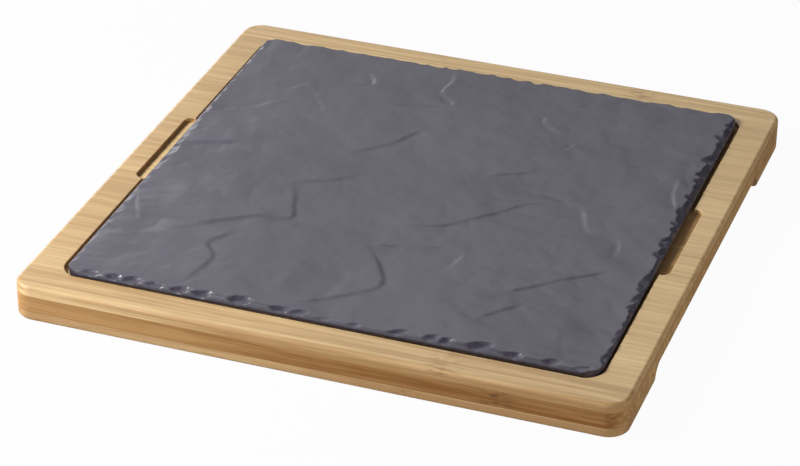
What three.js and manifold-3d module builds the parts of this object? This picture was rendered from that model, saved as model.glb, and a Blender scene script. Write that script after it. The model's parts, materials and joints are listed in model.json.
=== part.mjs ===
// Square steak plate: a slate-look ceramic plate that lies in the milled recess of a bamboo tray.
// Sizes are in millimetres. +Z is up, the front edge faces -Y, and the origin is the middle of
// the tray's underside.

import * as THREE from 'three';
import { mergeVertices } from 'three/addons/utils/BufferGeometryUtils.js';
import Module from 'manifold-3d';

// Plate: a flat slab, chamfered above and below the thin band at its widest, on a low foot rim
const PLATE_SIDE = 250;
const PLATE_THICKNESS = 5.2;
const PLATE_CORNER_RADIUS = 9;
const PLATE_CHAMFER_WIDTH = 3;
const PLATE_EDGE_BAND = 0.5;
const FOOT_WIDTH = 9;
const FOOT_HEIGHT = 1;

// Flake scars that chip the plate's upper edge: scoops of an egg-shaped tool
const FLAKE_PITCH = 13.3;
const FLAKE_ALONG = 8;
const FLAKE_ACROSS = 6;
const FLAKE_OUTSET = 2.2;
const FLAKE_LIFT = 2;
const FLAKE_SPREAD = 0.35;
const FLAKE_PLACE_TURN = 2.4;
const FLAKE_DEPTH_TURN = 4.1;

// Tray: glued plies, made of bamboo strips that run along X, with a sheet under the rim
const TRAY_CORNER_RADIUS = 10;
const TRAY_EDGE_RADIUS = 2;
const BASE_PLY = 5;
const CORE_PLY = 8;
const FLOOR_SHEET = 2.3;
const RIM_PLY = 2.2;

// Recess for the plate, milled through the rim ply, with a finger notch in its left and right walls
const PLATE_CLEARANCE = 1.5;
const RIM_WIDTH = 16;
const NOTCH_LENGTH = 64;
const NOTCH_REACH = 4.5;
const NOTCH_CORNER_RADIUS = 4;

// Hand grips: coves cut under the left and right edges, which leave a foot at the front and back
const GRIP_LENGTH = 187;
const GRIP_REACH = 16;
const GRIP_COVE_RADIUS = 7.5;
const GRIP_CORNER_EASE = 1.5;

// Strips in a row: those that share the run of a cut in the middle, and those at each end of it
const BASE_RUN_STRIPS = 9;
const BASE_END_STRIPS = 3;
const CORE_RUN_STRIPS = 12;
const CORE_END_STRIPS = 1;
const RIM_RUN_STRIPS = 3;
const RIM_END_STRIPS = 5;

// Finishes
const PALE_BAMBOO = 0xc7aa7a;
const CARAMEL_BAMBOO = 0x966d36;
const BAMBOO_ROUGHNESS = 0.55;
const SLATE_GREY = 0x6a6873;
const SLATE_ROUGHNESS = 0.5;

// Smoothness of round surfaces
const ARC_STEPS = 6;
const EDGE_STEPS = 3;
const COVE_STEPS = 5;
const FLAKE_SIDES = 10;
const FLAKE_RINGS = 6;

// Worked out from the sizes above
const RECESS_SIDE = PLATE_SIDE + 2 * PLATE_CLEARANCE;
const RECESS_CORNER_RADIUS = PLATE_CORNER_RADIUS + PLATE_CLEARANCE;
const TRAY_SIDE = RECESS_SIDE + 2 * RIM_WIDTH;
const TRAY_HALF = TRAY_SIDE / 2;
const CORE_BOTTOM = BASE_PLY;
const CORE_TOP = CORE_BOTTOM + CORE_PLY;
const RECESS_FLOOR = CORE_TOP + FLOOR_SHEET;
const TRAY_HEIGHT = RECESS_FLOOR + RIM_PLY;
const GRIP_CORNER_RADIUS = GRIP_COVE_RADIUS + GRIP_CORNER_EASE;
const GRIP_LEVEL_RUN = GRIP_LENGTH - 2 * GRIP_CORNER_RADIUS;
const PLATE_CHAMFER_HEIGHT = (PLATE_THICKNESS - PLATE_EDGE_BAND) / 2;

// How far a cutter runs past the face that it opens
const CUTTER_OVERRUN = GRIP_COVE_RADIUS + TRAY_EDGE_RADIUS;
const MERGE_TOLERANCE = 1e-4;

const wasm = await Module();
wasm.setup();

// A rectangle with round corners, as a closed outline about the point (centreX, 0)
function roundedRectangle(width, depth, radius, centreX = 0) {
  const left = centreX - width / 2;
  const right = centreX + width / 2;
  const back = depth / 2;
  const outline = new THREE.Shape();
  outline.moveTo(left + radius, -back);
  outline.lineTo(right - radius, -back);
  outline.absarc(right - radius, -back + radius, radius, -Math.PI / 2, 0);
  outline.lineTo(right, back - radius);
  outline.absarc(right - radius, back - radius, radius, 0, Math.PI / 2);
  outline.lineTo(left + radius, back);
  outline.absarc(left + radius, back - radius, radius, Math.PI / 2, Math.PI);
  outline.lineTo(left, -back + radius);
  outline.absarc(left + radius, -back + radius, radius, Math.PI, Math.PI * 1.5);
  return outline;
}

// The solid inside a closed geometry
function solidOf(geometry) {
  geometry.deleteAttribute('normal');
  geometry.deleteAttribute('uv');
  const merged = mergeVertices(geometry, MERGE_TOLERANCE);
  return new wasm.Manifold(new wasm.Mesh({
    numProp: 3,
    vertProperties: new Float32Array(merged.attributes.position.array),
    triVerts: new Uint32Array(merged.index.array),
  }));
}

// A straight-walled slab of an outline, from one height to another
function slab(outline, bottom, top) {
  const options = { depth: top - bottom, bevelEnabled: false, curveSegments: ARC_STEPS };
  const geometry = new THREE.ExtrudeGeometry(outline, options);
  geometry.translate(0, 0, bottom);
  return solidOf(geometry);
}

// A slab whose upper and lower edges are drawn in by a round of several steps or a chamfer of one
function easedSlab(outline, bottom, top, ease) {
  const options = {
    depth: top - bottom - 2 * ease.height,
    bevelThickness: ease.height,
    bevelSize: ease.width,
    bevelOffset: -ease.width,
    bevelSegments: ease.steps,
    curveSegments: ARC_STEPS,
  };
  const geometry = new THREE.ExtrudeGeometry(outline, options);
  geometry.translate(0, 0, bottom + ease.height);
  return solidOf(geometry);
}

// A box between two opposite corners; neighbours that share a corner value share that face exactly
function boxBetween(low, high) {
  const geometry = new THREE.BoxGeometry(1, 1, 1);
  const position = geometry.attributes.position;
  for (let i = 0; i < position.count; i += 1) {
    const x = position.getX(i) < 0 ? low.x : high.x;
    const y = position.getY(i) < 0 ? low.y : high.y;
    const z = position.getZ(i) < 0 ? low.z : high.z;
    position.setXYZ(i, x, y, z);
  }
  return solidOf(geometry);
}

// A named mesh of a solid
function meshOf(name, solid, material) {
  const { vertProperties, triVerts } = solid.getMesh();
  const geometry = new THREE.BufferGeometry();
  geometry.setAttribute('position', new THREE.BufferAttribute(vertProperties, 3));
  geometry.setIndex(new THREE.BufferAttribute(triVerts, 1));
  geometry.computeVertexNormals();
  const mesh = new THREE.Mesh(geometry, material);
  mesh.name = name;
  return mesh;
}

// The cove under one side edge: widest at the underside, closing in to its full height
function gripCutter(side) {
  const width = GRIP_REACH + CUTTER_OVERRUN;
  const centreX = side * (TRAY_HALF - GRIP_REACH + width / 2);
  const outline = roundedRectangle(width, GRIP_LENGTH, GRIP_CORNER_RADIUS, centreX);
  const cove = { width: GRIP_COVE_RADIUS, height: GRIP_COVE_RADIUS, steps: COVE_STEPS };
  return easedSlab(outline, -2 * GRIP_COVE_RADIUS, GRIP_COVE_RADIUS, cove);
}

// The board as one block with its hand grips, before it is divided into pieces
function boardBlock() {
  const outline = roundedRectangle(TRAY_SIDE, TRAY_SIDE, TRAY_CORNER_RADIUS);
  const edgeRound = { width: TRAY_EDGE_RADIUS, height: TRAY_EDGE_RADIUS, steps: EDGE_STEPS };
  const board = easedSlab(outline, 0, TRAY_HEIGHT, edgeRound);
  return board.subtract(gripCutter(-1)).subtract(gripCutter(1));
}

// What the recess and the two finger notches take out of the rim ply
function recessCutter() {
  const bottom = RECESS_FLOOR - CUTTER_OVERRUN;
  const top = TRAY_HEIGHT + CUTTER_OVERRUN;
  const notchedSide = RECESS_SIDE + 2 * NOTCH_REACH;
  const recess = slab(roundedRectangle(RECESS_SIDE, RECESS_SIDE, RECESS_CORNER_RADIUS), bottom, top);
  const notches = slab(roundedRectangle(notchedSide, NOTCH_LENGTH, NOTCH_CORNER_RADIUS), bottom, top);
  return recess.add(notches);
}

// The part of a block that lies between two opposite corners, as a piece of bamboo
function bambooPiece(name, block, low, high, color) {
  const material = new THREE.MeshStandardMaterial({ color, roughness: BAMBOO_ROUGHNESS, metalness: 0 });
  return meshOf(name, block.intersect(boxBetween(low, high)), material);
}

// The seams of a row of strips, from front to back: equal strips over the run in the middle, and
// equal strips over what is left at each end
function rowSeams(span, run, runStrips, endStrips) {
  const endSpan = (span - run) / 2;
  const seams = [-span / 2];
  for (let i = 1; i < endStrips; i += 1) {
    seams.push(-span / 2 + endSpan * (i / endStrips));
  }
  for (let i = 0; i <= runStrips; i += 1) {
    seams.push(-run / 2 + run * (i / runStrips));
  }
  for (let i = 1; i < endStrips; i += 1) {
    seams.push(run / 2 + endSpan * (i / endStrips));
  }
  seams.push(span / 2);
  return seams;
}

// A row of strips numbered from front to back, cut from a block inside a space
function rowOfStrips(rowName, block, space, seams, color) {
  const row = new THREE.Group();
  for (let i = 0; i + 1 < seams.length; i += 1) {
    const low = space.min.clone().setY(seams[i]);
    const high = space.max.clone().setY(seams[i + 1]);
    const number = String(i + 1).padStart(2, '0');
    row.add(bambooPiece(`${rowName}_strip_${number}`, block, low, high, color));
  }
  return row;
}

// The space between two heights, and between two sides
function spaceBetween(bottom, top, left = -TRAY_SIDE, right = TRAY_SIDE) {
  return new THREE.Box3(
    new THREE.Vector3(left, -TRAY_SIDE, bottom),
    new THREE.Vector3(right, TRAY_SIDE, top),
  );
}

// The rim: a rail along the front and the back, and rows of short strips left and right
function rimPieces(board) {
  const rim = new THREE.Group();
  const rimTop = TRAY_HEIGHT + CUTTER_OVERRUN;
  const space = spaceBetween(RECESS_FLOOR, rimTop);
  const frontEnd = space.max.clone().setY(-RECESS_SIDE / 2);
  const backStart = space.min.clone().setY(RECESS_SIDE / 2);
  rim.add(bambooPiece('rim_rail_front', board, space.min, frontEnd, PALE_BAMBOO));
  rim.add(bambooPiece('rim_rail_back', board, backStart, space.max, PALE_BAMBOO));

  const sides = board.subtract(recessCutter());
  const seams = rowSeams(RECESS_SIDE, NOTCH_LENGTH, RIM_RUN_STRIPS, RIM_END_STRIPS);
  const leftSpace = spaceBetween(RECESS_FLOOR, rimTop, -TRAY_SIDE, 0);
  const rightSpace = spaceBetween(RECESS_FLOOR, rimTop, 0, TRAY_SIDE);
  rim.add(rowOfStrips('rim_left', sides, leftSpace, seams, PALE_BAMBOO));
  rim.add(rowOfStrips('rim_right', sides, rightSpace, seams, PALE_BAMBOO));
  return rim;
}

// The tray: base ply, core ply, floor sheet and rim
function trayPieces() {
  const tray = new THREE.Group();
  const board = boardBlock();
  const baseSeams = rowSeams(TRAY_SIDE, GRIP_LEVEL_RUN, BASE_RUN_STRIPS, BASE_END_STRIPS);
  const coreSeams = rowSeams(TRAY_SIDE, PLATE_SIDE, CORE_RUN_STRIPS, CORE_END_STRIPS);
  const baseSpace = spaceBetween(-CUTTER_OVERRUN, CORE_BOTTOM);
  const coreSpace = spaceBetween(CORE_BOTTOM, CORE_TOP);
  const sheetSpace = spaceBetween(CORE_TOP, RECESS_FLOOR);
  tray.add(rowOfStrips('base', board, baseSpace, baseSeams, PALE_BAMBOO));
  tray.add(rowOfStrips('core', board, coreSpace, coreSeams, CARAMEL_BAMBOO));
  tray.add(bambooPiece('floor_sheet', board, sheetSpace.min, sheetSpace.max, PALE_BAMBOO));
  tray.add(rimPieces(board));
  return tray;
}

// Scoops along the outline of the plate, at an uneven pitch and depth
function flakeCutters(outline, plateTop) {
  const count = Math.round(outline.getLength() / FLAKE_PITCH);
  const cutters = [];
  for (let i = 0; i < count; i += 1) {
    const along = (i + 0.5 + FLAKE_SPREAD * Math.sin(i * FLAKE_PLACE_TURN)) / count;
    const point = outline.getPointAt(along);
    const tangent = outline.getTangentAt(along);
    const outset = FLAKE_OUTSET * (1 + FLAKE_SPREAD * Math.sin(i * FLAKE_DEPTH_TURN));
    const geometry = new THREE.SphereGeometry(1, FLAKE_SIDES, FLAKE_RINGS);
    geometry.scale(FLAKE_ALONG, FLAKE_ACROSS, FLAKE_ACROSS);
    geometry.rotateZ(Math.atan2(tangent.y, tangent.x));
    geometry.translate(
      point.x + tangent.y * outset,
      point.y - tangent.x * outset,
      plateTop + FLAKE_LIFT,
    );
    cutters.push(solidOf(geometry));
  }
  return cutters;
}

// The plate, standing on its foot rim at height 0
function platePiece() {
  const outline = roundedRectangle(PLATE_SIDE, PLATE_SIDE, PLATE_CORNER_RADIUS);
  const hollowSide = PLATE_SIDE - 2 * (PLATE_CHAMFER_WIDTH + FOOT_WIDTH);
  const hollow = slab(
    roundedRectangle(hollowSide, hollowSide, PLATE_CORNER_RADIUS), -CUTTER_OVERRUN, FOOT_HEIGHT,
  );
  const chamfer = { width: PLATE_CHAMFER_WIDTH, height: PLATE_CHAMFER_HEIGHT, steps: 1 };
  let plate = easedSlab(outline, 0, PLATE_THICKNESS, chamfer).subtract(hollow);
  for (const cutter of flakeCutters(outline, PLATE_THICKNESS)) {
    plate = plate.subtract(cutter);
  }
  const material = new THREE.MeshStandardMaterial({
    color: SLATE_GREY, roughness: SLATE_ROUGHNESS, metalness: 0,
  });
  return meshOf('slate_plate', plate, material);
}

const plate = platePiece();
plate.position.z = RECESS_FLOOR;

const steakPlate = new THREE.Group();
steakPlate.add(trayPieces(), plate);

export default steakPlate;
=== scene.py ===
"""Square steak plate: a slate-look ceramic plate that lies in the recess of a bamboo tray.

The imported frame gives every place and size. This file makes the fine surfaces around it: the grained strips
of the tray, the cleft face and chipped edge of the plate, and the studio that shows them.
"""

import json
import logging
import math
from dataclasses import dataclass, field
from enum import Enum

import bmesh
import bpy
import numpy as np
from mathutils import Matrix, Vector, noise


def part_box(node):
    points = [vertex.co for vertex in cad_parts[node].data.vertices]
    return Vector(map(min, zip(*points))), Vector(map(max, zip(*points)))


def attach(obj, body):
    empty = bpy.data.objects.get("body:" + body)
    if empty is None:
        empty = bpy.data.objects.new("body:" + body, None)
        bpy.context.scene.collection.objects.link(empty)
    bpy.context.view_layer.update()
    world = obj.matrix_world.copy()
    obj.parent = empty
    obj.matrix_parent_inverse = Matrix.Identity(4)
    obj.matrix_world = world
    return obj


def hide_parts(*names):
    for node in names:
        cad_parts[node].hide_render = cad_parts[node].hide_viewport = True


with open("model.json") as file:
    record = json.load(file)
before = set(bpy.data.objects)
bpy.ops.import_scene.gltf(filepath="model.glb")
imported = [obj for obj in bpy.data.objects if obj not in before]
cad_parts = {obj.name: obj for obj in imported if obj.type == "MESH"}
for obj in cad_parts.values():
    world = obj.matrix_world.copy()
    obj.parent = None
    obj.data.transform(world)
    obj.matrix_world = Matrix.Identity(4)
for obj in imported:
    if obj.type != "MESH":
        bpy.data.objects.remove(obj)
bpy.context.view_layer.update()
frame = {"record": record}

LOG = logging.getLogger("steak_plate")
MM = 0.001
# Points closer than the first are one point, and points closer than the second to a cut lie on it.
TOUCH = 0.01 * MM
CUT_TOUCH = 0.001 * MM
# A place along X that no strip reaches, for strips without a knuckle.
NO_KNUCKLE = 9.0
NOISE_MIDDLE = 0.5
NOISE_LIMITS = (0.3, 0.7)
WHITE = (1.0, 1.0, 1.0, 1.0)

Colour = tuple[float, float, float, float]
Place = tuple[float, float, float]
Pair = tuple[float, float]
Line = tuple[Pair, ...]
Feeds = dict[str | int, object]


class Axis(Enum):
    """An axis of the shared frame, by its place in a vector."""

    X = 0
    Y = 1
    Z = 2


class Facing(Enum):
    """Which way the small cliff of a crease looks, along the plate's light heading or against it."""

    LIT = 1
    SHADED = -1


class Body(Enum):
    """The bodies of the frame."""

    TRAY = "tray"
    PLATE = "plate"


def screen_colour(red: int, green: int, blue: int) -> Colour:
    """Turn a colour as a screen shows it into the linear colour that a shader takes.

    Args:
        red: Red from 0 to 255.
        green: Green from 0 to 255.
        blue: Blue from 0 to 255.

    Returns:
        The linear colour, opaque.
    """
    full, knee, slope, offset, power = 255, 0.04045, 12.92, 0.055, 2.4
    shares = [level / full for level in (red, green, blue)]
    linear = [s / slope if s <= knee else ((s + offset) / (1 + offset)) ** power for s in shares]
    return (linear[0], linear[1], linear[2], 1.0)


@dataclass(frozen=True)
class Grain:
    """The grains of a cloudy noise: how many there are to a metre along each axis, and their finer layers."""

    to_a_metre: Place
    detail: float
    roughness: float = 0.5


class Recipe:
    """The node tree of a material or of the sky, put together a node at a time."""

    def __init__(self, owner: bpy.types.Material | bpy.types.World) -> None:
        """Start an empty tree.

        Args:
            owner: The material or the world whose tree it is.
        """
        owner.use_nodes = True
        self.owner = owner
        self.tree = owner.node_tree
        self.tree.nodes.clear()

    def add(self, kind: str, sockets: Feeds | None = None, **settings: object) -> bpy.types.Node:
        """Add a node.

        Args:
            kind: Blender's name for the kind of node.
            sockets: The output or the constant that feeds each input, by the input's name or number.
            **settings: Properties of the node itself.

        Returns:
            The node.
        """
        node = self.tree.nodes.new(kind)
        for name, value in settings.items():
            setattr(node, name, value)
        for name, value in (sockets or {}).items():
            if isinstance(value, bpy.types.NodeSocket):
                self.tree.links.new(value, node.inputs[name])
            else:
                node.inputs[name].default_value = value
        return node

    def math(self, operation: str, first: object, second: object = 0.0) -> bpy.types.NodeSocket:
        """Work out one sum.

        Args:
            operation: Blender's name for the operation.
            first: The first number or output.
            second: The second number or output.

        Returns:
            The result's output.
        """
        node = self.add("ShaderNodeMath", {0: first, 1: second}, operation=operation)
        return node.outputs[0]

    def spread(self, value: object, limits: Pair, become: Pair = (0.0, 1.0)) -> bpy.types.NodeSocket:
        """Map a number smoothly from one range to another.

        Args:
            value: The number or output to map.
            limits: Where the first range starts and ends.
            become: What its start and its end become.

        Returns:
            The mapped number's output.
        """
        sockets = {"Value": value, "From Min": limits[0], "From Max": limits[1]}
        sockets |= {"To Min": become[0], "To Max": become[1]}
        node = self.add("ShaderNodeMapRange", sockets, interpolation_type="SMOOTHSTEP")
        return node.outputs["Result"]

    def mix(self, factor: object, first: object, second: object) -> bpy.types.NodeSocket:
        """Blend two colours.

        Args:
            factor: How much of the second colour there is.
            first: The first colour or output.
            second: The second colour or output.

        Returns:
            The blend's output.
        """
        colour_a, colour_b, colour_out = 6, 7, 2
        sockets = {0: factor, colour_a: first, colour_b: second}
        return self.add("ShaderNodeMix", sockets, data_type="RGBA").outputs[colour_out]

    def noise(self, place: object, grain: Grain) -> bpy.types.NodeSocket:
        """Make cloudy noise.

        Args:
            place: The coordinates.
            grain: The noise's grains.

        Returns:
            The noise's output, about the middle that NOISE_MIDDLE names.
        """
        stretched = self.add("ShaderNodeVectorMath", {0: place, 1: grain.to_a_metre}, operation="MULTIPLY")
        sockets = {"Vector": stretched.outputs[0], "Scale": 1.0}
        sockets |= {"Detail": grain.detail, "Roughness": grain.roughness}
        return self.add("ShaderNodeTexNoise", sockets).outputs["Fac"]

    def sum_of(self, parts: list[tuple[bpy.types.NodeSocket, object]]) -> bpy.types.NodeSocket:
        """Add up noises about their middle.

        Args:
            parts: Each noise and its weight.

        Returns:
            The sum, about the same middle.
        """
        total = NOISE_MIDDLE
        for cloud, weight in parts:
            centred = self.math("SUBTRACT", cloud, NOISE_MIDDLE)
            total = self.math("ADD", self.math("MULTIPLY", centred, weight), total)
        return total

    def attribute(self, name: str) -> bpy.types.NodeSocket:
        """Read a number that a piece's mesh carries."""
        return self.add("ShaderNodeAttribute", attribute_name=name).outputs["Fac"]

    def white_share(self, mirrored_share: object) -> bpy.types.NodeSocket:
        """Tell how white a ray sees the studio: wholly for the camera's own rays, in part for mirrored ones.

        Args:
            mirrored_share: How white the mirrored rays see it.

        Returns:
            The share's output, which is 0 for all other rays.
        """
        path = self.add("ShaderNodeLightPath").outputs
        mirrored = self.math("MAXIMUM", path["Is Glossy Ray"], path["Is Transmission Ray"])
        mirrored = self.math("MULTIPLY", mirrored, mirrored_share)
        return self.math("MAXIMUM", path["Is Camera Ray"], mirrored)

    def finish(self, look: "Finish", colour: object, rough: object, height: object) -> bpy.types.Material:
        """Close the tree with a surface shader.

        Args:
            look: The finish, for its gloss and its bumps.
            colour: The surface's colour.
            rough: Its roughness.
            height: The height of its bumps.

        Returns:
            The finished material.
        """
        sockets = {"Height": height, "Strength": look.bump_strength, "Distance": look.bump_depth}
        bump = self.add("ShaderNodeBump", sockets)
        shader = self.add("ShaderNodeBsdfPrincipled", {
            "Base Color": colour,
            "Roughness": rough,
            "Specular IOR Level": look.specular,
            "Normal": bump.outputs["Normal"],
        })
        self.add("ShaderNodeOutputMaterial", {"Surface": shader.outputs["BSDF"]})
        return self.owner


@dataclass(frozen=True)
class BambooFinish:
    """Oiled bamboo whose fibres run along X, with a tone for each strip and a knuckle mark here and there.
    The tone also carries painted light and shade, and faces that look to the front or back take colours that
    are partly painted.
    """

    slot: str
    light: Colour
    deep: Colour
    edge_cut_and_sheen_light: Colour
    edge_cut_and_sheen_deep: Colour
    end_light: Colour
    end_deep: Colour
    mark: Colour
    roughness: float = 0.36
    roughness_play: float = 0.06
    edge_roughness: float = 0.75
    end_roughness: float = 0.92
    specular: float = 0.68
    fibres: Grain = Grain((45.0, 2000.0, 2000.0), 3.0, 0.6)
    streaks: Grain = Grain((9.0, 420.0, 420.0), 3.0)
    clouds: Grain = Grain((5.0, 60.0, 60.0), 2.0)
    fibre_weight: float = 1.2
    cloud_weight: float = 0.8
    cut_limits: Pair = (0.4, 0.95)
    bump_fibre: float = 0.6
    bump_streak: float = 0.4
    bump_strength: float = 0.22
    bump_depth: float = 0.15 * MM
    waves: Grain = Grain((20.0, 130.0, 130.0), 2.0)
    knuckle_bend: float = 7.0 * MM
    knuckle_width: float = 1.6 * MM
    knuckle_strength: float = 0.22
    dashes: Grain = Grain((140.0, 700.0, 700.0), 2.0)
    dash_limits: Pair = (0.48, 0.66)
    dash_reach: float = 11.0 * MM
    dash_strength: float = 0.8

    def material(self) -> bpy.types.Material:
        """Build the material.

        Returns:
            The material, which reads the strip's tone with its painted light and shade, shift and knuckle
            from its mesh.
        """
        recipe = Recipe(bpy.data.materials.new(f"{self.slot}_finish"))
        place = recipe.add("ShaderNodeTexCoord").outputs["Object"]
        shift = recipe.attribute("strip_shift")
        offset = recipe.add("ShaderNodeCombineXYZ", {"X": shift, "Y": shift, "Z": shift}).outputs[0]
        moved = recipe.add("ShaderNodeVectorMath", {0: place, 1: offset}, operation="ADD").outputs[0]
        fibre = recipe.noise(moved, self.fibres)
        streak = recipe.noise(moved, self.streaks)
        cloud = recipe.noise(moved, self.clouds)

        streak_weight = recipe.attribute("strip_streak")
        parts = [(fibre, self.fibre_weight), (streak, streak_weight), (cloud, self.cloud_weight)]
        tone = recipe.sum_of(parts)
        # The stored tone carries painted light and shade as well as the strip's own tone.
        tone = recipe.math("ADD", tone, recipe.attribute("strip_tone_and_painted_light"))
        tone = recipe.add("ShaderNodeClamp", {"Value": tone}).outputs[0]
        edge = recipe.spread(recipe.attribute("edge_grain"), self.cut_limits)
        end = recipe.spread(recipe.attribute("end_grain"), self.cut_limits)
        # Faces that look to the front or back take their own colours, partly the look of the cut and partly
        # painted, making up for the sheen and reflection that differ between them and the tops.
        light = recipe.mix(end, recipe.mix(edge, self.light, self.edge_cut_and_sheen_light), self.end_light)
        deep = recipe.mix(end, recipe.mix(edge, self.deep, self.edge_cut_and_sheen_deep), self.end_deep)
        colour = recipe.mix(tone, deep, light)
        colour = self.with_knuckle(recipe, colour, place, moved)

        play = (self.roughness + self.roughness_play, self.roughness - self.roughness_play)
        rough = recipe.spread(fibre, NOISE_LIMITS, play)
        rough = recipe.math("ADD", rough, recipe.attribute("strip_matt"))
        rough = recipe.math("ADD", rough, recipe.math("MULTIPLY", edge, self.edge_roughness - self.roughness))
        rough = recipe.math("ADD", rough, recipe.math("MULTIPLY", end, self.end_roughness - self.roughness))
        height = recipe.sum_of([(fibre, self.bump_fibre), (streak, self.bump_streak)])
        return recipe.finish(self, colour, rough, height)

    def with_knuckle(
        self, recipe: Recipe, colour: object, place: object, moved: object,
    ) -> bpy.types.NodeSocket:
        """Draw the mark where a bamboo stem had a knuckle: a faint wavy line among short dark dashes.

        Args:
            recipe: The material's recipe.
            colour: The colour so far.
            place: The coordinates.
            moved: The coordinates with the strip's shift.

        Returns:
            The colour with the mark.
        """
        along = recipe.add("ShaderNodeSeparateXYZ", {0: place}).outputs["X"]
        wave = recipe.math("SUBTRACT", recipe.noise(moved, self.waves), NOISE_MIDDLE)
        bend = recipe.math("MULTIPLY", wave, self.knuckle_bend)
        away = recipe.math("SUBTRACT", recipe.math("ADD", along, bend), recipe.attribute("strip_knuckle"))
        away = recipe.math("ABSOLUTE", away)
        dashes = recipe.spread(recipe.noise(moved, self.dashes), self.dash_limits)
        near = recipe.spread(away, (0.0, self.dash_reach), (self.dash_strength, 0.0))
        line = recipe.spread(away, (0.0, self.knuckle_width), (self.knuckle_strength, 0.0))
        dashed = recipe.mix(recipe.math("MULTIPLY", near, dashes), colour, self.mark)
        return recipe.mix(line, dashed, self.mark)


@dataclass(frozen=True)
class SlateFinish:
    """Dark satin ceramic with the fine tooth of split slate."""

    slot: str
    light: Colour
    deep: Colour
    roughness: float = 0.42
    roughness_play: float = 0.05
    specular: float = 0.74
    tooth: Grain = Grain((900.0, 900.0, 900.0), 3.0, 0.6)
    clouds: Grain = Grain((18.0, 18.0, 18.0), 4.0, 0.55)
    cloud_tones: Pair = (0.3, 0.7)
    speck_tones: Pair = (-0.36, 0.36)
    bump_strength: float = 0.2
    bump_depth: float = 0.12 * MM

    def material(self) -> bpy.types.Material:
        """Build the material.

        Returns:
            The material.
        """
        recipe = Recipe(bpy.data.materials.new(f"{self.slot}_finish"))
        place = recipe.add("ShaderNodeTexCoord").outputs["Object"]
        tooth = recipe.noise(place, self.tooth)
        cloud = recipe.noise(place, self.clouds)
        tone = recipe.spread(cloud, NOISE_LIMITS, self.cloud_tones)
        speck = recipe.spread(tooth, NOISE_LIMITS, self.speck_tones)
        colour = recipe.mix(recipe.math("ADD", tone, speck), self.deep, self.light)
        play = (self.roughness - self.roughness_play, self.roughness + self.roughness_play)
        rough = recipe.spread(tooth, NOISE_LIMITS, play)
        return recipe.finish(self, colour, rough, tooth)


Finish = BambooFinish | SlateFinish


@dataclass(frozen=True)
class PaperFinish:
    """White studio paper that the camera sees as white, with a trace of the shadow on it."""

    albedo: float = 0.6
    whiteness: float = 0.96
    near: float = 0.25
    far: float = 0.9

    def material(self) -> bpy.types.Material:
        """Build the material.

        Returns:
            The material.
        """
        recipe = Recipe(bpy.data.materials.new("studio_paper"))
        place = recipe.add("ShaderNodeTexCoord").outputs["Object"]
        distance = recipe.add("ShaderNodeVectorMath", {0: place}, operation="LENGTH").outputs["Value"]
        share = recipe.white_share(recipe.spread(distance, (self.near, self.far)))
        factor = recipe.math("MULTIPLY", share, self.whiteness)
        grey = (self.albedo, self.albedo, self.albedo, 1.0)
        paper = recipe.add("ShaderNodeBsdfDiffuse", {"Color": grey}).outputs[0]
        white = recipe.add("ShaderNodeEmission", {"Color": WHITE, "Strength": 1.0}).outputs[0]
        shader = recipe.add("ShaderNodeMixShader", {0: factor, 1: paper, 2: white})
        recipe.add("ShaderNodeOutputMaterial", {"Surface": shader.outputs[0]})
        return recipe.owner


PALE_BAMBOO = BambooFinish(
    slot="pale_bamboo",
    light=screen_colour(222, 190, 136),
    deep=screen_colour(174, 138, 87),
    edge_cut_and_sheen_light=screen_colour(223, 191, 141),
    edge_cut_and_sheen_deep=screen_colour(180, 139, 89),
    end_light=screen_colour(214, 172, 120),
    end_deep=screen_colour(174, 132, 84),
    mark=screen_colour(146, 102, 56),
)
CARAMEL_BAMBOO = BambooFinish(
    slot="caramel_bamboo",
    light=screen_colour(192, 142, 80),
    deep=screen_colour(134, 86, 38),
    edge_cut_and_sheen_light=screen_colour(184, 139, 82),
    edge_cut_and_sheen_deep=screen_colour(137, 85, 14),
    end_light=screen_colour(208, 166, 108),
    end_deep=screen_colour(164, 120, 70),
    mark=screen_colour(100, 62, 26),
)
SLATE_CERAMIC = SlateFinish(
    slot="slate_ceramic",
    light=screen_colour(70, 66, 81),
    deep=screen_colour(51, 48, 61),
)


def linked_object(name: str, shape: bmesh.types.BMesh) -> bpy.types.Object:
    """Put a shape into the scene as an object at the origin.

    Args:
        name: The object's name.
        shape: Its shape, which is used up.

    Returns:
        The object.
    """
    mesh = bpy.data.meshes.new(name)
    shape.to_mesh(mesh)
    shape.free()
    made = bpy.data.objects.new(name, mesh)
    bpy.context.scene.collection.objects.link(made)
    return made


def dressed_piece(
    node: str, suffix: str, shape: bmesh.types.BMesh, material: bpy.types.Material, body: Body,
) -> bpy.types.Object:
    """Make the finished piece that stands for a node of the frame.

    Args:
        node: The node's name.
        suffix: What the piece's name adds to the node's.
        shape: The piece's shape, which is used up.
        material: Its material.
        body: The body that it rides on.

    Returns:
        The piece.
    """
    piece = linked_object(f"{node}_{suffix}", shape)
    piece.data.materials.append(material)
    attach(piece, body.value)
    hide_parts(node)
    LOG.info("%s: %d faces on %s", piece.name, len(piece.data.polygons), body.value)
    return piece


def carry_number(piece: bpy.types.Object, name: str, value: float, drift: float = 0.0) -> None:
    """Store a number on every point of a piece's mesh.

    Args:
        piece: The piece.
        name: The number's name.
        value: The number.
        drift: How much the number grows to a metre along X.
    """
    attribute = piece.data.attributes.new(name, "FLOAT", "POINT")
    attribute.data.foreach_set("value", [value + drift * v.co.x for v in piece.data.vertices])


def carry_cuts(piece: bpy.types.Object) -> None:
    """Store on every face how squarely it looks along the fibres, and how squarely to the front or back.

    Args:
        piece: The piece.
    """
    for name, axis in (("end_grain", Axis.X), ("edge_grain", Axis.Y)):
        attribute = piece.data.attributes.new(name, "FLOAT", "FACE")
        squareness = [abs(face.normal[axis.value]) for face in piece.data.polygons]
        attribute.data.foreach_set("value", squareness)


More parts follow.
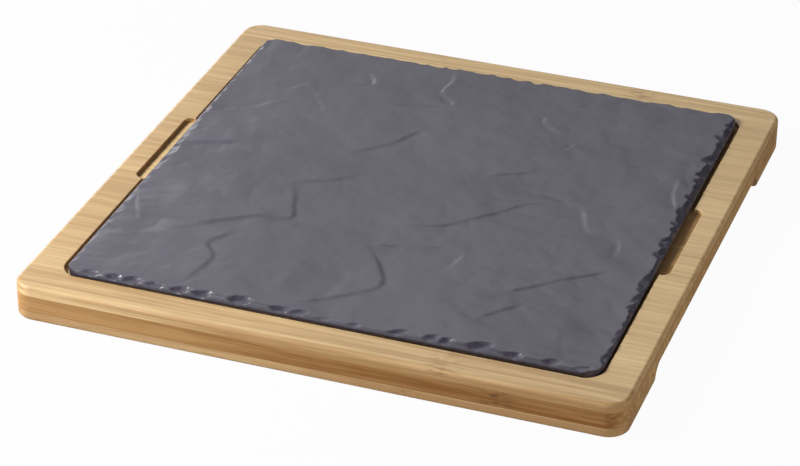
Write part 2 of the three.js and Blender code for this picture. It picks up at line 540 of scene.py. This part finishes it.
def rounded_slab(
    half: Pair, radius: float, levels: Pair, arc_steps: int, centre_x: float = 0.0,
) -> bmesh.types.BMesh:
    """Make a slab with round corners.

    Args:
        half: Half its width and half its depth.
        radius: The radius of its corners.
        levels: The heights of its underside and of its top.
        arc_steps: How many steps a corner has.
        centre_x: Where its middle lies along X.

    Returns:
        The slab.
    """
    slab = bmesh.new()
    bmesh.ops.create_grid(slab, x_segments=1, y_segments=1, size=1.0)
    bmesh.ops.scale(slab, vec=(half[0], half[1], 1.0), verts=slab.verts)
    bmesh.ops.translate(slab, vec=(centre_x, 0.0, levels[0]), verts=slab.verts)
    bmesh.ops.bevel(
        slab, geom=slab.verts[:], offset=radius, offset_type="OFFSET", affect="VERTICES",
        segments=arc_steps, profile=0.5, material=-1,
    )
    grown = bmesh.ops.extrude_face_region(slab, geom=slab.faces[:])
    raised = [item for item in grown["geom"] if isinstance(item, bmesh.types.BMVert)]
    bmesh.ops.translate(slab, vec=(0.0, 0.0, levels[1] - levels[0]), verts=raised)
    bmesh.ops.recalc_face_normals(slab, faces=slab.faces)
    return slab


def ease_edges(
    shape: bmesh.types.BMesh, edges: list[bmesh.types.BMEdge], radius: float, steps: int,
) -> None:
    """Round a run of edges.

    Args:
        shape: The shape.
        edges: Its edges to round.
        radius: The radius.
        steps: How many steps the round has.
    """
    bmesh.ops.bevel(
        shape, geom=edges, offset=radius, offset_type="OFFSET", affect="EDGES",
        segments=steps, profile=0.5, material=-1,
    )


def edges_at(shape: bmesh.types.BMesh, level: float) -> list[bmesh.types.BMEdge]:
    """Find the edges that lie at one height."""
    return [e for e in shape.edges if all(abs(v.co.z - level) < TOUCH for v in e.verts)]


def open_edges(shape: bmesh.types.BMesh) -> list[bmesh.types.BMEdge]:
    """Find the edges at which a shape is open."""
    return [e for e in shape.edges if e.is_boundary]


def carve(block: bmesh.types.BMesh, cutters: list[bmesh.types.BMesh]) -> bmesh.types.BMesh:
    """Cut shapes out of a block.

    Args:
        block: The block, which is used up.
        cutters: The shapes to take away, which are used up.

    Returns:
        What is left of the block.
    """
    body = linked_object("block", block)
    tools = [linked_object("cutter", cutter) for cutter in cutters]
    for tool in tools:
        cut = body.modifiers.new("cut", "BOOLEAN")
        cut.operation = "DIFFERENCE"
        cut.solver = "EXACT"
        cut.object = tool
    carved = bmesh.new()
    carved.from_object(body, bpy.context.evaluated_depsgraph_get())
    bmesh.ops.remove_doubles(carved, verts=carved.verts, dist=TOUCH)
    for spent in [body, *tools]:
        mesh = spent.data
        bpy.data.objects.remove(spent)
        bpy.data.meshes.remove(mesh)
    return carved


def trimmed(block: bmesh.types.BMesh, low: Vector, high: Vector) -> bmesh.types.BMesh:
    """Copy the part of a block that lies between two corners, with its cut faces closed.

    Args:
        block: The block.
        low: The lowest corner.
        high: The highest corner.

    Returns:
        The part.
    """
    part = block.copy()
    for axis in (Axis.Y, Axis.X, Axis.Z):
        for corner, outwards in ((low, -1.0), (high, 1.0)):
            reach = [v.co[axis.value] for v in part.verts]
            if not min(reach) + TOUCH < corner[axis.value] < max(reach) - TOUCH:
                continue
            normal = Vector((0.0, 0.0, 0.0))
            normal[axis.value] = outwards
            everything = part.verts[:] + part.edges[:] + part.faces[:]
            bmesh.ops.bisect_plane(
                part, geom=everything, dist=CUT_TOUCH, plane_co=corner, plane_no=normal, clear_outer=True,
            )
            bmesh.ops.holes_fill(part, edges=open_edges(part), sides=0)
    bmesh.ops.remove_doubles(part, verts=part.verts, dist=TOUCH)
    bmesh.ops.recalc_face_normals(part, faces=part.faces)
    return part


@dataclass
class Tray:
    """The bamboo tray: a board with hand grips, whose rim frames the recess for the plate."""

    corner_radius: float = 10.0 * MM
    edge_radius: float = 2.0 * MM
    recess_corner_radius: float = 10.5 * MM
    recess_edge_radius: float = 0.5 * MM
    notch_corner_radius: float = 4.0 * MM
    grip_length: float = 187.0 * MM
    grip_reach: float = 16.0 * MM
    grip_height: float = 7.5 * MM
    grip_corner_ease: float = 1.5 * MM
    cutter_overrun: float = 12.0 * MM
    seam_clearance: float = 0.02 * MM
    corner_steps: int = 20
    edge_steps: int = 8
    small_steps: int = 3
    upright_limit: float = 0.5
    tone_spread: float = 0.11
    end_steadiness: float = 3.0
    shift_spread: float = 3.0
    rail_streak: float = 2.3
    end_streak: float = 1.2
    seed: int = 11
    floor_matt: float = 0.45
    # Painted shade and light: the end strips on the left are darkened and those on the right lightened,
    # evening out how the key light falls across the tray.
    left_painted_shade: float = -0.2
    right_painted_light: float = 0.17
    knuckles: dict[str, float] = field(default_factory=lambda: {
        "rim_rail_front": 60.0 * MM,
        "core_strip_01": 86.0 * MM,
        "base_strip_01": 44.0 * MM,
        "rim_rail_back": 72.0 * MM,
    })
    # Tones set strip by strip. Painted sheen: the back rail is lightened and the front rail darkened, as the
    # back catches more sheen. The front base strip is darkened, partly painted shade near the floor.
    tones_and_painted_light: dict[str, float] = field(default_factory=lambda: {
        "rim_rail_front": -0.36,
        "rim_rail_back": 0.08,
        "rim_left_strip_05": -0.45,
        "core_strip_01": 0.04,
        "base_strip_01": -0.46,
        "floor_sheet": -0.1,
    })
    # Tones that change along X, by the metre. The floor sheet's is painted light and shade: lighter in the
    # left finger notch and darker in the right one, where the plate's shadow falls. The front core strip's is
    # partly its own tone and partly painted light, lighter towards the left end where the key light falls.
    tone_and_light_drifts: dict[str, float] = field(default_factory=lambda: {
        "rim_rail_front": 0.5,
        "core_strip_01": -2.2,
        "floor_sheet": -4.0,
    })

    def nodes(self) -> list[str]:
        """List the tray's nodes."""
        return sorted(frame["record"]["behaviour"]["bodies"][Body.TRAY.value])

    def is_end(self, node: str) -> bool:
        """Tell the ends of strips beside the recess from the other nodes."""
        return "_left_" in node or "_right_" in node

    def board(self) -> bmesh.types.BMesh:
        """Make the whole board with its round edges and its hand grips.

        Returns:
            The board.
        """
        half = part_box("floor_sheet")[1].x
        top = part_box("rim_rail_front")[1].z
        board = rounded_slab((half, half), self.corner_radius, (0.0, top), self.corner_steps)
        for level in (0.0, top):
            ease_edges(board, edges_at(board, level), self.edge_radius, self.edge_steps)
        return carve(board, [self.grip_cutter(half, side) for side in (-1, 1)])

    def grip_cutter(self, half: float, side: int) -> bmesh.types.BMesh:
        """Make the cove that a hand grip takes out of the board.

        Args:
            half: Half the board's width.
            side: -1 for the left edge and 1 for the right.

        Returns:
            The cove's shape.
        """
        width = self.grip_reach + self.cutter_overrun
        centre = side * (half - self.grip_reach + width / 2)
        radius = self.grip_height + self.grip_corner_ease
        levels = (-self.cutter_overrun, self.grip_height)
        cove = rounded_slab((width / 2, self.grip_length / 2), radius, levels, self.corner_steps, centre)
        ease_edges(cove, edges_at(cove, self.grip_height), self.grip_height, self.edge_steps)
        return cove

    def notched_board(self, board: bmesh.types.BMesh) -> bmesh.types.BMesh:
        """Cut the recess and its finger notches out of a copy of the board.

        Args:
            board: The board.

        Returns:
            The board with the recess.
        """
        # Strip 03 ends at the recess's wall and strip 07 at the notch's, whose far end is strip 08's seam.
        recess_x = -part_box("rim_left_strip_03")[1].x
        recess_y = -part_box("rim_rail_front")[1].y
        notch_x = -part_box("rim_left_strip_07")[1].x
        notch_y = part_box("rim_left_strip_08")[1].y
        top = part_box("rim_rail_front")[1].z
        levels = (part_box("floor_sheet")[0].z - self.edge_radius, top + self.cutter_overrun)
        recess = rounded_slab(
            (recess_x, recess_y + self.seam_clearance), self.recess_corner_radius, levels, self.corner_steps,
        )
        notches = rounded_slab((notch_x, notch_y), self.notch_corner_radius, levels, self.corner_steps)
        frame_block = carve(board.copy(), [recess, notches])
        inner = [e for e in edges_at(frame_block, top) if self.is_recess_edge(e, notch_x)]
        ease_edges(frame_block, inner, self.recess_edge_radius, self.small_steps)
        return frame_block

    def is_recess_edge(self, edge: bmesh.types.BMEdge, reach: float) -> bool:
        """Tell an edge of the recess's mouth from the other edges at the top of the rim."""
        inside = all(max(abs(v.co.x), abs(v.co.y)) < reach + TOUCH for v in edge.verts)
        return inside and any(abs(f.normal.z) < self.upright_limit for f in edge.link_faces)

    def build(self) -> None:
        """Build every strip, rail and sheet, and dress it."""
        board = self.board()
        notched = self.notched_board(board)
        materials = {finish.slot: finish.material() for finish in (PALE_BAMBOO, CARAMEL_BAMBOO)}
        slots = {part["node"]: part["material_slot"] for part in frame["record"]["subparts"]}
        draws = np.random.default_rng(self.seed)
        row_tones = draws.uniform(-self.tone_spread, self.tone_spread, len(self.nodes()))
        for node in self.nodes():
            low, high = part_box(node)
            shape = trimmed(notched if self.is_end(node) else board, low, high)
            slot = slots[node]
            piece = dressed_piece(node, "grained", shape, materials[slot], Body.TRAY)
            self.dress(piece, node, row_tones, draws)
        board.free()
        notched.free()

    def dress(
        self, piece: bpy.types.Object, node: str, row_tones: np.ndarray, draws: np.random.Generator,
    ) -> None:
        """Store on a piece what its material reads: its tone with any painted light and shade, its shift
        along the grain and its knuckle.

        Args:
            piece: The piece.
            node: The node that it stands for.
            row_tones: Tones by the number of a row, which the row's two ends share.
            draws: Where the random numbers come from.
        """
        tone = draws.uniform(-self.tone_spread, self.tone_spread)
        if self.is_end(node):
            # An end takes the painted shade or light of its side, its row's tone and a little of its own.
            side_painted_light_and_shade = self.left_painted_shade if "_left_" in node else self.right_painted_light
            row = int(node.split("_")[-1])
            tone = side_painted_light_and_shade + row_tones[row] + tone / self.end_steadiness
        carry_cuts(piece)
        carry_number(piece, "strip_tone_and_painted_light", self.tones_and_painted_light.get(node, tone), self.tone_and_light_drifts.get(node, 0.0))
        carry_number(piece, "strip_streak", self.end_streak if self.is_end(node) else self.rail_streak)
        carry_number(piece, "strip_matt", self.floor_matt if node == "floor_sheet" else 0.0)
        carry_number(piece, "strip_shift", draws.uniform(-self.shift_spread, self.shift_spread))
        carry_number(piece, "strip_knuckle", self.knuckles.get(node, NO_KNUCKLE))


def smooth_line(points: np.ndarray, steps: int = 6) -> np.ndarray:
    """Run a smooth curve through points.

    Args:
        points: The points, one to a row.
        steps: How many steps lie between two points.

    Returns:
        The points of the curve.
    """
    padded = np.vstack([2 * points[0] - points[1], points, 2 * points[-1] - points[-2]])
    curve = []
    for a, b, c, d in zip(padded, padded[1:], padded[2:], padded[3:]):
        for t in np.arange(steps) / steps:
            bend = 2 * b + (c - a) * t
            bend = bend + (2 * a - 5 * b + 4 * c - d) * t ** 2
            bend = bend + (3 * b - a - 3 * c + d) * t ** 3
            curve.append(bend / 2)
    curve.append(points[-1])
    return np.array(curve)


@dataclass(frozen=True)
class Crease:
    """A line where the face of the plate drops, as split slate does. Its points are in millimetres."""

    facing: Facing
    points: Line

    def places(self, x: np.ndarray, y: np.ndarray, light_heading: Pair) -> tuple[np.ndarray, np.ndarray]:
        """Work out where points lie beside the crease.

        Args:
            x: Places along X.
            y: Places along Y.
            light_heading: The heading that a lit crease drops towards.

        Returns:
            How far each point lies on the high side, below 0 on the low side, and the share of the crease's
            length that leads to the place next to the point.
        """
        line = smooth_line(np.array(self.points, float))
        runs = np.diff(line, axis=0)
        lengths = np.hypot(runs[:, 0], runs[:, 1])
        starts = np.concatenate(([0.0], np.cumsum(lengths)))
        towards_light = np.sum(-runs[:, 1] * light_heading[0] + runs[:, 0] * light_heading[1])
        high_side = -math.copysign(1.0, towards_light) * self.facing.value
        nearest = np.full(x.shape, np.inf)
        side = np.zeros(x.shape)
        along = np.zeros(x.shape)
        for i, (start, run, length) in enumerate(zip(line, runs, lengths)):
            off_x, off_y = x - start[0], y - start[1]
            share = np.clip((off_x * run[0] + off_y * run[1]) / length ** 2, 0.0, 1.0)
            distance = np.hypot(off_x - share * run[0], off_y - share * run[1])
            closer = distance < nearest
            across = (run[0] * off_y - run[1] * off_x) / length
            nearest = np.where(closer, distance, nearest)
            side = np.where(closer, np.sign(across), side)
            along = np.where(closer, (starts[i] + share * length) / starts[-1], along)
        return nearest * side * high_side, along


@dataclass(frozen=True)
class Scar:
    """A flake struck off the plate's edge: a hollow that leans along the side, in millimetres."""

    place: float
    half_length: float
    reach: float
    floor: float
    slant: float
    curve: float
    skew: float

    def heights(self, along: np.ndarray, inwards: np.ndarray, top: float) -> np.ndarray:
        """Work out the height of the hollow, which passes the top outside the scar.

        Args:
            along: Places along the side.
            inwards: How far each point lies in from the side.
            top: The height of the plate's top.

        Returns:
            The heights.
        """
        across = (along - self.place + self.slant * inwards) / self.half_length
        across = np.where(across > 0, across * self.skew, across)
        rise = (inwards / self.reach) ** self.curve + across ** 2
        return self.floor + (top - self.floor) * rise


@dataclass(frozen=True)
class ScarRow:
    """The scars along one side of the plate, drawn at random between limits, in millimetres."""

    pitch: float
    half_length: Pair
    reach: Pair
    slant: Pair
    lift: float
    curve: float
    roundover: float
    seed: int
    skew: float = 1.0
    places: tuple[float, ...] = ()
    steadiness: float = 3.0
    lift_play: Pair = (0.5, 1.5)

    def scars(self, half: float, floor: float) -> list[Scar]:
        """Draw the scars of the row.

        Args:
            half: Half the length of the side without its corners.
            floor: The height of the outline.

        Returns:
            The scars.
        """
        draws = np.random.default_rng(self.seed)
        count = round(2 * half / self.pitch)
        spaced = (np.arange(count) + 0.5) * self.pitch - half
        stray = self.pitch / self.steadiness
        strewn = spaced + draws.uniform(-stray, stray, count)
        return [
            Scar(
                place=float(place),
                half_length=draws.uniform(*self.half_length),
                reach=draws.uniform(*self.reach),
                floor=floor + self.lift * draws.uniform(*self.lift_play),
                slant=draws.uniform(*self.slant),
                curve=self.curve,
                skew=self.skew,
            )
            for place in (self.places or strewn)
        ]


@dataclass(frozen=True)
class Clouds:
    """Cloudy ups and downs of the plate's face, in millimetres."""

    height: float
    length: float
    layer: float
    octaves: int = 3
    fade: float = 1.0
    growth: float = 2.0

    def heights(self, x: np.ndarray, y: np.ndarray) -> np.ndarray:
        """Work out the heights.

        Args:
            x: Places along X.
            y: Places along Y.

        Returns:
            The heights, about 0.
        """
        places = zip(x / self.length, y / self.length)
        waves = [noise.fractal((u, v, self.layer), self.fade, self.growth, self.octaves) for u, v in places]
        return self.height * np.array(waves)


# Creases and front chips, in millimetres from the middle of the plate.
LIT_CREASES = (
    ((-61, 105), (-55, 92), (-65, 90), (-80, 84), (-89, 80), (-96, 71)),
    ((-89, 80), (-78, 71), (-68, 58)),
    ((-123, 36), (-112, 45), (-100, 55), (-89, 65)),
    ((-22, 120), (-19, 110), (-20, 96), (-11, 85), (-28, 78), (-43, 71)),
    ((-90, 8), (-80, 0), (-70, -8), (-61, -15)),
    ((59, 120), (49, 103), (36, 88), (44, 78), (51, 78)),
    ((59, 71), (53, 58), (40, 45)),
    ((77, 13), (82, 0), (87, -10), (102, -14), (105, -32)),
    ((-121, -52), (-111, -72)),
    ((114, 51), (115, 35), (120, 21)),
)
SHADED_CREASES = (
    ((-13, 60), (-20, 48), (-27, 35), (-43, 22)),
    ((-121, 2), (-94, 13)),
    ((-60, -15), (-41, -7), (-27, 5)),
    ((-54, -17), (-48, -35), (-45, -48), (-61, -53), (-78, -64), (-90, -74)),
    ((52, 37), (40, 30), (27, 23)),
    ((77, 13), (55, 5), (44, -7), (32, -20), (17, -32), (-8, -36)),
    ((110, -39), (90, -54), (77, -67), (62, -80)),
    ((-8, -57), (15, -52), (29, -48), (39, -52), (34, -69)),
    ((-3, -57), (9, -75), (14, -89), (5, -100), (-11, -112), (-21, -119)),
    ((-65, -64), (-66, -72), (-72, -82), (-65, -94), (-70, -120)),
    ((78, -83), (69, -94), (62, -103)),
)
FRONT_CHIPS = (-111, -100, -92, -80, -69, -58, -40, -21, -13, -0.5, 14, 33, 49, 55, 70, 87, 104, 116)


@dataclass
class SlatePlate:
    """The plate: a slab with a cleft face and a chipped edge, on a low foot rim. Sizes are in millimetres."""

    node: str = "slate_plate"
    corner_radius: float = 9.0
    chamfer_width: float = 1.6
    foot_corner_radius: float = 4.0
    edge_band: float = 0.5
    foot_width: float = 10.4
    foot_height: float = 1.0
    edge_zone: float = 9.0
    edge_cells: int = 22
    middle_cells: int = 252
    light_heading: Pair = (-0.85, 0.5)
    band_level: float = 2.4
    crease_step: float = 0.42
    lit_softness: float = 1.0
    shaded_softness: float = 1.7
    crease_run: float = 11.0
    crease_trough: float = 0.53
    crease_trough_run: float = 4.5
    crease_taper: float = 0.18
    swell: Clouds = Clouds(height=1.0, length=62.0, layer=0.5)
    folds: Clouds = Clouds(height=0.7, length=30.0, layer=7.5, octaves=5)
    scar_grain: Clouds = Clouds(height=0.22, length=3.2, layer=3.5)
    grain_fade: float = 1.0
    face_drop: float = 0.4
    side_clear: float = 7.0
    sharp_angle: float = 35.0
    turn: float = 0.28
    front: ScarRow = ScarRow(
        pitch=13.0, half_length=(4.6, 6.6), reach=(3.8, 5.8), slant=(-0.9, -0.1), lift=0.5, curve=3.0,
        roundover=1.8, seed=21, skew=1.7, places=FRONT_CHIPS,
    )
    right: ScarRow = ScarRow(
        pitch=6.2, half_length=(1.8, 7.5), reach=(1.6, 6.2), slant=(-0.5, 0.9), lift=0.2, curve=1.15,
        roundover=2.2, seed=22,
    )
    back: ScarRow = ScarRow(
        pitch=9.0, half_length=(3.5, 9.0), reach=(1.4, 3.6), slant=(-0.6, 0.6), lift=0.4, curve=1.3,
        roundover=1.5, seed=23,
    )
    left: ScarRow = ScarRow(
        pitch=7.5, half_length=(3.5, 7.5), reach=(2.8, 5.6), slant=(-0.8, 0.8), lift=0.2, curve=1.1,
        roundover=2.9, seed=24,
    )

    def __post_init__(self) -> None:
        """Take the plate's place and size from the frame."""
        low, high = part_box(self.node)
        self.half = high.x / MM
        self.bottom = low.z / MM
        self.thickness = (high.z - low.z) / MM
        self.band_high = self.band_level + self.edge_band
        self.open_radius = self.corner_radius

    def depth_inside(self, x: np.ndarray, y: np.ndarray) -> np.ndarray:
        """Work out how far each point lies in from the outline.

        Args:
            x: Places along X.
            y: Places along Y.

        Returns:
            The depths, below 0 outside.
        """
        inner = self.half - self.corner_radius
        over_x, over_y = np.abs(x) - inner, np.abs(y) - inner
        outside = np.hypot(np.maximum(over_x, 0), np.maximum(over_y, 0))
        inside = np.minimum(np.maximum(over_x, over_y), 0)
        return self.corner_radius - outside - inside

    def with_round_corners(self, x: np.ndarray, y: np.ndarray) -> tuple[np.ndarray, np.ndarray]:
        """Draw the corners of the square grid in to their radius.

        Args:
            x: Places of the grid's points along X.
            y: Places of the grid's points along Y.

        Returns:
            The new places along X and along Y.
        """
        inner = self.half - self.corner_radius
        u = (np.abs(x) - inner) / self.corner_radius
        v = (np.abs(y) - inner) / self.corner_radius
        corner = (u > 0) & (v > 0)
        larger = np.where(corner, np.maximum(u, v), 1.0)
        smaller = np.where(corner, np.minimum(u, v), 0.0)
        turn = math.pi / 4 * smaller / larger
        angle = np.where(u >= v, turn, math.pi / 2 - turn)
        round_x = inner + self.corner_radius * larger * np.cos(angle)
        round_y = inner + self.corner_radius * larger * np.sin(angle)
        return (
            np.where(corner, np.sign(x) * round_x, x),
            np.where(corner, np.sign(y) * round_y, y),
        )

    def crease_height(self, crease: Crease, x: np.ndarray, y: np.ndarray) -> np.ndarray:
        """Work out what a crease adds to the face: a small cliff between a swell and a trough that fade.

        Args:
            crease: The crease.
            x: Places along X.
            y: Places along Y.

        Returns:
            The height that it adds.
        """
        signed, along = crease.places(x, y, self.light_heading)
        ends = np.clip(np.minimum(along, 1 - along) / self.crease_taper, 0.0, 1.0)
        softness = self.lit_softness if crease.facing is Facing.LIT else self.shaded_softness
        rise = np.clip(0.5 + signed / (2 * softness), 0.0, 1.0)
        rise = rise * rise * (3 - 2 * rise)
        high = self.crease_step * rise * np.exp(-np.maximum(signed, 0.0) / self.crease_run)
        low = self.crease_trough * (1 - rise) * np.exp(np.minimum(signed, 0.0) / self.crease_trough_run)
        return ends * (high - low)

    def relief(self, x: np.ndarray, y: np.ndarray) -> np.ndarray:
        """Work out the face's height about its level: a slow swell, soft folds and the creases.

        Args:
            x: Places along X.
            y: Places along Y.

        Returns:
            The heights.
        """
        height = self.swell.heights(x, y) + np.abs(self.folds.heights(x, y))
        for facing, lines in ((Facing.LIT, LIT_CREASES), (Facing.SHADED, SHADED_CREASES)):
            for points in lines:
                height += self.crease_height(Crease(facing, points), x, y)
        return height - height.mean() - self.face_drop

    def heights(self, x: np.ndarray, y: np.ndarray) -> np.ndarray:
        """Work out the height of the plate's upper side: its face, its rounded edge and the scars in it.

        Args:
            x: Places along X.
            y: Places along Y.

        Returns:
            The heights above the plate's foot.
        """
        height = self.thickness + self.relief(x, y)
        depth = self.depth_inside(x, y)
        rough = self.scar_grain.heights(x, y)
        sides = (
            (self.front, x, self.half + y),
            (self.right, y, self.half - x),
            (self.back, x, self.half - y),
            (self.left, y, self.half + x),
        )
        for row, along, inwards in sides:
            share = np.clip(1.0 - np.maximum(depth, inwards) / row.roundover, 0.0, 1.0)
            edge = self.band_high + (self.thickness - self.band_high) * (1.0 - share ** 2)
            height = np.where(share > 0, np.minimum(height, edge), height)
            grain = rough * np.clip(inwards / self.grain_fade, 0.0, 1.0)
            for scar in row.scars(self.half - self.side_clear, self.band_high):
                hollow = scar.heights(along, inwards, self.thickness) + grain
                height = np.minimum(height, hollow)
        return np.maximum(height, self.band_high)

    def upper_side(self) -> bmesh.types.BMesh:
        """Make the upper side from a grid that is finer near its edges.

        Returns:
            The open upper side.
        """
        cells = 2 * self.edge_cells + self.middle_cells
        marks = [0, self.edge_cells, cells - self.edge_cells, cells]
        zone = self.half - self.edge_zone
        lines = np.interp(np.arange(cells + 1), marks, [-self.half, -zone, zone, self.half])
        sheet = bmesh.new()
        bmesh.ops.create_grid(sheet, x_segments=cells, y_segments=cells, size=1.0)
        unit = np.array([v.co for v in sheet.verts])
        index = np.rint((unit + 1) / 2 * cells).astype(int)
        x, y = self.with_round_corners(lines[index[:, 0]], lines[index[:, 1]])
        z = self.heights(x, y) + self.bottom
        for vert, place in zip(sheet.verts, np.stack([x, y, z], axis=1) * MM):
            vert.co = place
        return sheet

    def continue_to(self, shape: bmesh.types.BMesh, inset: float, radius: float, level: float) -> None:
        """Continue the open edge to an outline of another size, at another height.

        Args:
            shape: The open shape.
            inset: How far the new outline lies in from the plate's.
            radius: The new outline's corner radius.
            level: Its height above the plate's foot.
        """
        outline = open_edges(shape)
        grown = bmesh.ops.extrude_edge_only(shape, edges=outline)
        old_half = max(v.co.x for e in outline for v in e.verts) / MM
        old_inner = old_half - self.open_radius
        new_inner = self.half - inset - radius
        for vert in (item for item in grown["geom"] if isinstance(item, bmesh.types.BMVert)):
            flat = Vector((vert.co.x, vert.co.y)) / MM
            inner = Vector([max(-old_inner, min(old_inner, c)) for c in flat])
            outwards = (flat - inner).normalized()
            placed = inner * (new_inner / old_inner) + outwards * radius
            vert.co = Vector((placed.x, placed.y, self.bottom + level)) * MM
        self.open_radius = radius

    def build(self) -> None:
        """Build the plate, from its upper side round its edge to its underside, and dress it."""
        shape = self.upper_side()
        hollow_inset = self.chamfer_width + self.foot_width
        self.continue_to(shape, 0.0, self.corner_radius, self.band_level)
        self.continue_to(shape, self.chamfer_width, self.foot_corner_radius, 0.0)
        self.continue_to(shape, hollow_inset, self.corner_radius, 0.0)
        self.continue_to(shape, hollow_inset, self.corner_radius, self.foot_height)
        bmesh.ops.holes_fill(shape, edges=open_edges(shape), sides=0)
        bmesh.ops.recalc_face_normals(shape, faces=shape.faces)
        turn = Matrix.Rotation(math.radians(self.turn), 3, "Z")
        bmesh.ops.rotate(shape, cent=(0.0, 0.0, 0.0), matrix=turn, verts=shape.verts)
        self.dress(shape)

    def dress(self, shape: bmesh.types.BMesh) -> None:
        """Turn the plate's shape into the finished piece.

        Args:
            shape: The shape, which is used up.
        """
        for face in shape.faces:
            face.smooth = True
        material = SLATE_CERAMIC.material()
        piece = dressed_piece(self.node, "cleft", shape, material, Body.PLATE)
        piece.data.set_sharp_from_angle(angle=math.radians(self.sharp_angle))


@dataclass(frozen=True)
class SoftBox:
    """A square soft light that looks at the middle of the tray."""

    name: str
    place: Place
    side: float
    power: float

    def build(self) -> None:
        """Put the light into the scene."""
        lamp = bpy.data.lights.new(self.name, "AREA")
        lamp.shape = "SQUARE"
        lamp.size = self.side
        lamp.energy = self.power
        light = bpy.data.objects.new(self.name, lamp)
        light.location = self.place
        light.rotation_euler = (-Vector(self.place)).to_track_quat("-Z", "Y").to_euler()
        bpy.context.scene.collection.objects.link(light)
        LOG.info("%s: light of %.1f W", self.name, self.power)


@dataclass
class Studio:
    """The camera at the photograph's angle, plain soft light and a white floor."""

    azimuth: float = 19.29
    elevation: float = 30.07
    roll: float = 0.71
    distance: float = 1379.0 * MM
    target: Place = (-4.7 * MM, -9.9 * MM, 0.0)
    focal_pixels: float = 2924.0
    image_width: float = 800.0
    sensor_width: float = 36.0
    floor_side: float = 8.0
    floor_drop: float = 0.05 * MM
    ambient: float = 0.12
    ceiling_start: float = 0.9
    ceiling_share: float = 0.15
    backdrop_heading: Place = (-0.6, 0.72, 0.85)
    backdrop_start: float = 0.62
    backdrop_full: float = 1.0
    lights: tuple[SoftBox, ...] = (
        SoftBox("key_light", place=(-0.62, -0.33, 0.56), side=0.28, power=9.6),
        SoftBox("front_fill", place=(-0.3, -1.0, 0.4), side=0.5, power=1.5),
        SoftBox("right_fill", place=(1.3, -0.5, 0.3), side=0.6, power=6.0),
        SoftBox("rim_light", place=(-1.27, 1.51, 0.3), side=0.7, power=4.3),
        SoftBox("back_box", place=(-0.25, 0.9, 1.25), side=0.8, power=1.9),
    )

    def build(self) -> None:
        """Build the camera, the lights, the sky and the floor."""
        bpy.context.scene.view_settings.view_transform = "Standard"
        self.build_camera()
        self.build_sky()
        self.build_floor()
        for light in self.lights:
            light.build()

    def build_camera(self) -> None:
        """Set the camera up as it was fitted to the straight edges of the tray."""
        azimuth, elevation, roll = (math.radians(a) for a in (self.azimuth, self.elevation, self.roll))
        back = Vector((
            math.sin(azimuth) * math.cos(elevation),
            -math.cos(azimuth) * math.cos(elevation),
            math.sin(elevation),
        ))
        level_right = Vector((math.cos(azimuth), math.sin(azimuth), 0.0))
        level_up = back.cross(level_right)
        right = level_right * math.cos(roll) + level_up * math.sin(roll)
        up = back.cross(right)
        data = bpy.data.cameras.new("portrait_camera")
        data.sensor_width = self.sensor_width
        data.sensor_fit = "HORIZONTAL"
        data.lens = self.focal_pixels / self.image_width * self.sensor_width
        camera = bpy.data.objects.new("portrait_camera", data)
        turn = Matrix((right, up, back)).transposed().to_4x4()
        camera.matrix_world = Matrix.Translation(Vector(self.target) + back * self.distance) @ turn
        bpy.context.scene.collection.objects.link(camera)
        bpy.context.scene.camera = camera

    def build_sky(self) -> None:
        """Light the scene softly from all round below a dim ceiling, with a white backdrop to look at."""
        world = bpy.data.worlds.new("studio_sky")
        bpy.context.scene.world = world
        sky = Recipe(world)
        direction = sky.add("ShaderNodeTexCoord").outputs["Generated"]
        heading = Vector(self.backdrop_heading).normalized()
        behind = sky.add("ShaderNodeVectorMath", {0: direction, 1: heading}, operation="DOT_PRODUCT")
        backdrop = sky.spread(behind.outputs["Value"], (self.backdrop_start, self.backdrop_full))
        height = sky.add("ShaderNodeSeparateXYZ", {0: direction}).outputs["Z"]
        dim = self.ambient * self.ceiling_share
        level = sky.spread(height, (0.0, self.ceiling_start), (self.ambient, dim))
        soft = sky.add("ShaderNodeBackground", {"Color": WHITE, "Strength": level}).outputs[0]
        white = sky.add("ShaderNodeBackground", {"Color": WHITE}).outputs[0]
        mixed = sky.add("ShaderNodeMixShader", {0: sky.white_share(backdrop), 1: soft, 2: white})
        sky.add("ShaderNodeOutputWorld", {"Surface": mixed.outputs[0]})

    def build_floor(self) -> None:
        """Lay the white floor just under the tray."""
        shape = bmesh.new()
        bmesh.ops.create_grid(shape, x_segments=1, y_segments=1, size=self.floor_side / 2)
        bmesh.ops.translate(shape, vec=(0.0, 0.0, -self.floor_drop), verts=shape.verts)
        floor = linked_object("studio_floor", shape)
        floor.data.materials.append(PaperFinish().material())


def main() -> None:
    """Build the studio, the tray and the plate in order."""
    logging.basicConfig(level=logging.INFO, format="%(name)s %(message)s")
    Studio().build()
    Tray().build()
    SlatePlate().build()


if __name__ == "__main__":
    main()
